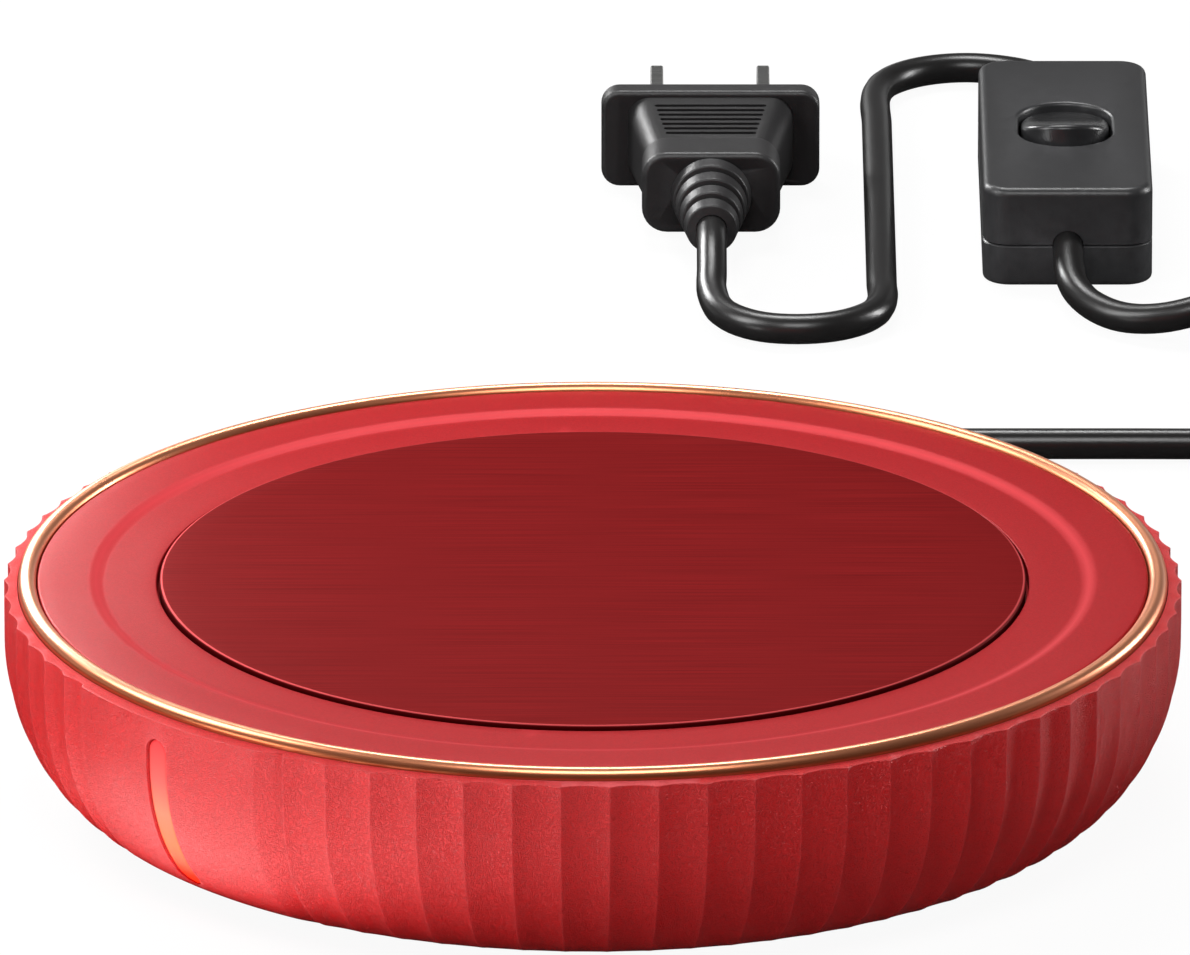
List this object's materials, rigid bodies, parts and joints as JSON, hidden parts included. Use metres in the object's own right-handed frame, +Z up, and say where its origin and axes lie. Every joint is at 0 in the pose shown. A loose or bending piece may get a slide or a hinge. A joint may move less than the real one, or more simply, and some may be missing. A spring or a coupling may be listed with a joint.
{
  "type": "candle warmer",
  "caption": "Low round electric candle warmer: fluted red shell, gold trim ring, brushed heating plate, lit slot in the side, lead with inline rocker switch and plug.",
  "frame": {"origin": "centre of the circle of feet, on the surface that they stand on", "axes": "+Z up along the body's axis, -Y towards the lit slot in the side"},
  "size_m": [0.2249, 0.2694, 0.0254],
  "materials": {
    "shell_red": "fine grained moulded red plastic, satin",
    "deck_red": "fine metallic red paint, satin",
    "trim_gold": "polished rose gold plating",
    "plate_red": "brushed dark red anodised aluminium",
    "gasket": "silicone",
    "element": "mica with a wound resistance foil",
    "pad": "ceramic fibre felt",
    "steel": "zinc plated steel",
    "fuse": "sleeved fuse",
    "wire_white": "glass fibre sleeved wire",
    "wire_grey": "insulated wire",
    "cap_nylon": "nylon",
    "light_guide": "translucent red acrylic, lit from behind",
    "board": "circuit board",
    "lamp": "clear red lamp",
    "base_maroon": "grained dark red plastic",
    "foot_rubber": "matt rubber",
    "cord_black": "smooth black sheath",
    "tie_grey": "soft strap",
    "switch_black": "fine grained black plastic",
    "rocker_black": "smooth black plastic",
    "contact_brass": "bare brass",
    "plug_black": "moulded black plastic",
    "blade_metal": "nickel plated"
  },
  "bodies": {
    "warmer": {"body_shell": "shell_red", "trim_ring": "trim_gold", "top_cover": "deck_red", "heating_plate": "plate_red", "plate_gasket": "gasket", "heating_element": "element", "insulation_pad": "pad", "clamp_plate": "steel", "clamp_screws": "steel", "thermal_fuse": "fuse", "fuse_clip": "steel", "heater_leads": "wire_white", "mains_wires": "wire_grey", "splice_caps": "cap_nylon", "light_guide": "light_guide", "lamp_board": "board", "lamp": "lamp", "lamp_leads": "wire_white", "base_plate": "base_maroon", "base_screws": "steel", "feet": "foot_rubber", "cord_gland": "cord_black", "cord_clamp": "base_maroon", "cord_clamp_screws": "steel", "cord_exit": "cord_black", "cord_coil": "cord_black", "coil_tie": "tie_grey", "cord_return": "cord_black", "cord_plug_lead": "cord_black", "switch_case_lower": "switch_black", "switch_case_upper": "switch_black", "switch_screws": "steel", "switch_terminals": "contact_brass", "plug_body": "plug_black", "plug_blades": "blade_metal"},
    "rocker": {"switch_rocker": "rocker_black", "rocker_plunger": "contact_brass", "plunger_spring": "steel"},
    "contact": {"contact_bridge": "contact_brass"}
  },
  "joints": [
    {"name": "rocker_tilt", "type": "hinge", "parent": "warmer", "child": "rocker", "pos_m": [-0.10296, 0.17258, 0.0084], "axis": [0.682, 0.7314, 0], "range_deg": [0, 24]},
    {"name": "contact_tilt", "type": "hinge", "parent": "warmer", "child": "contact", "pos_m": [-0.10296, 0.17258, 0.00295], "axis": [0.682, 0.7314, 0], "range_deg": [-12, 0]}
  ],
  "couplings": [
    {"joint": "contact_tilt", "follows": "rocker_tilt", "ratio": -0.5}
  ]
}
